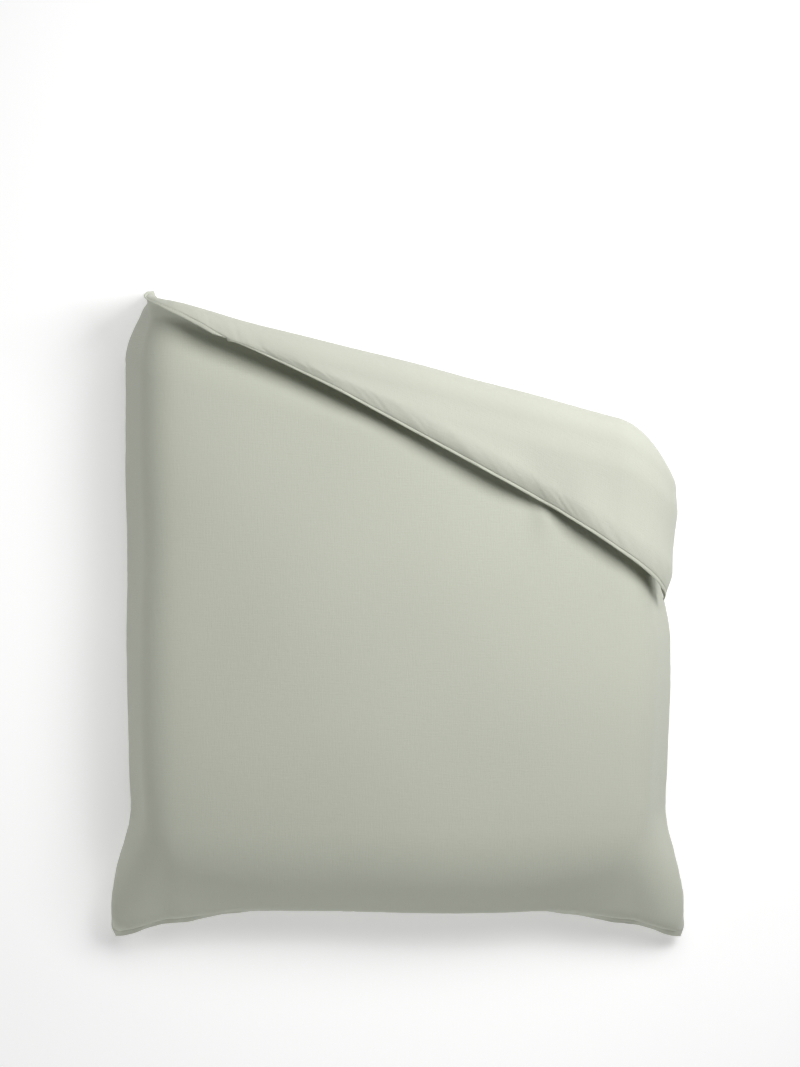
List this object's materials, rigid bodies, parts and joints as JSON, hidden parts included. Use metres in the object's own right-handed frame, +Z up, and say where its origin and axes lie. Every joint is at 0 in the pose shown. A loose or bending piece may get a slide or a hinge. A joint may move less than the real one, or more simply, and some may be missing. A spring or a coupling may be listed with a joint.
{
  "type": "duvet",
  "caption": "Filled double duvet in a buttoned sage green cotton cover, draped over the sides and foot of a mattress, with its head edge folded back on a diagonal.",
  "frame": {"origin": "on the plane of the mattress top, at the centre of the duvet's flat underside", "axes": "+Z up, +Y towards the head of the bed, +X to the right of someone who stands at the foot and looks at the head"},
  "size_m": [1.7792, 1.9906, 0.445],
  "materials": {
    "sage_cotton": "brushed cotton, matt",
    "white_ticking": "close white cotton",
    "hollowfibre": "loose white fibre",
    "label_satin": "blank white satin tape",
    "button_resin": "satin resin",
    "sewing_thread": "spun thread"
  },
  "bodies": {
    "root": {"cover_face_panel": "sage_cotton", "cover_back_panel": "sage_cotton", "cover_head_seam": "sage_cotton", "cover_left_seam": "sage_cotton", "cover_right_seam": "sage_cotton", "cover_foot_seam_left": "sage_cotton", "cover_foot_seam_right": "sage_cotton", "button_stand": "sage_cotton", "buttonhole_band": "sage_cotton", "button_1": "button_resin", "button_2": "button_resin", "button_3": "button_resin", "button_4": "button_resin", "button_5": "button_resin", "button_6": "button_resin", "button_7": "button_resin", "button_thread_1": "sewing_thread", "button_thread_2": "sewing_thread", "button_thread_3": "sewing_thread", "button_thread_4": "sewing_thread", "button_thread_5": "sewing_thread", "button_thread_6": "sewing_thread", "button_thread_7": "sewing_thread", "care_label": "label_satin", "insert_top_shell": "white_ticking", "insert_bottom_shell": "white_ticking", "insert_head_binding": "white_ticking", "insert_foot_binding": "white_ticking", "insert_left_binding": "white_ticking", "insert_right_binding": "white_ticking", "filling_channel_1": "hollowfibre", "filling_channel_2": "hollowfibre", "filling_channel_3": "hollowfibre", "filling_channel_4": "hollowfibre", "filling_channel_5": "hollowfibre", "filling_channel_6": "hollowfibre", "filling_channel_7": "hollowfibre", "filling_channel_8": "hollowfibre"}
  },
  "joints": []
}
